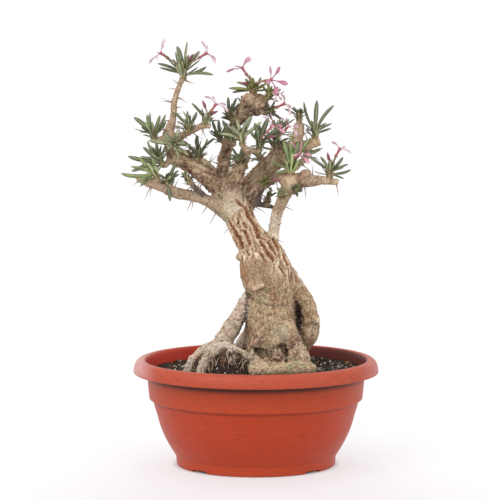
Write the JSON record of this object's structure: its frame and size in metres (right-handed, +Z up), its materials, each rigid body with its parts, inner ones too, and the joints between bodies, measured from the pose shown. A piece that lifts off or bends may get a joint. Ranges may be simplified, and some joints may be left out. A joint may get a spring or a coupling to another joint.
{
  "type": "potted pachypodium",
  "caption": "Spiny caudiciform succulent with a swollen rooted trunk, leafy shoots and pink flowers, growing in a round plastic bowl.",
  "frame": {"origin": "centre of the pot's foot on the surface that it stands on", "axes": "+Z up, -Y towards the viewer's side of the plant, +X to the viewer's right"},
  "size_m": [0.3065, 0.3, 0.5216],
  "materials": {
    "pot": "satin red-brown plastic",
    "soil": "dark peat mix with white perlite grains",
    "wood": "rough tan and olive bark",
    "leaf": "soft matt green leaf",
    "flower": "thin pink petals"
  },
  "bodies": {
    "root": {"pot": "pot", "soil": "soil", "wood": "wood", "shoot_top_left": "leaf", "shoot_left_fan": "leaf", "shoot_twig_middle": "leaf", "shoot_twig_end": "leaf", "shoot_left_face": "leaf", "shoot_left_end": "leaf", "shoot_left_low_tuft": "leaf", "shoot_left_low_side": "leaf", "shoot_left_main_top": "leaf", "shoot_upright_left": "leaf", "shoot_centre_left": "leaf", "shoot_centre_top": "leaf", "shoot_centre_right": "leaf", "shoot_crown": "leaf", "shoot_crown_right": "leaf", "shoot_crown_left": "leaf", "shoot_crown_low": "leaf", "shoot_right_top": "leaf", "shoot_right_knob_top": "leaf", "shoot_inner_dark": "leaf", "shoot_tall": "leaf", "shoot_right_tuft": "leaf", "shoot_shoulder_tuft": "leaf", "shoot_shoulder_side": "leaf", "shoot_under_main": "leaf", "shoot_dark_fork": "leaf", "shoot_front_tuft": "leaf", "shoot_spur_end": "leaf", "shoot_back_top": "leaf", "shoot_back_left_end": "leaf", "shoot_back_reach_end": "leaf", "shoot_back_middle": "leaf", "shoot_back_fork": "leaf", "shoot_back_crown": "leaf", "spray_top_left": "flower", "spray_twig_end": "flower", "spray_crown": "flower", "spray_crown_low": "flower", "spray_centre_right": "flower", "spray_inner_dark": "flower", "spray_tall": "flower", "spray_right_tuft": "flower", "spray_crown_right": "flower", "spray_under_main": "flower"}
  },
  "joints": []
}
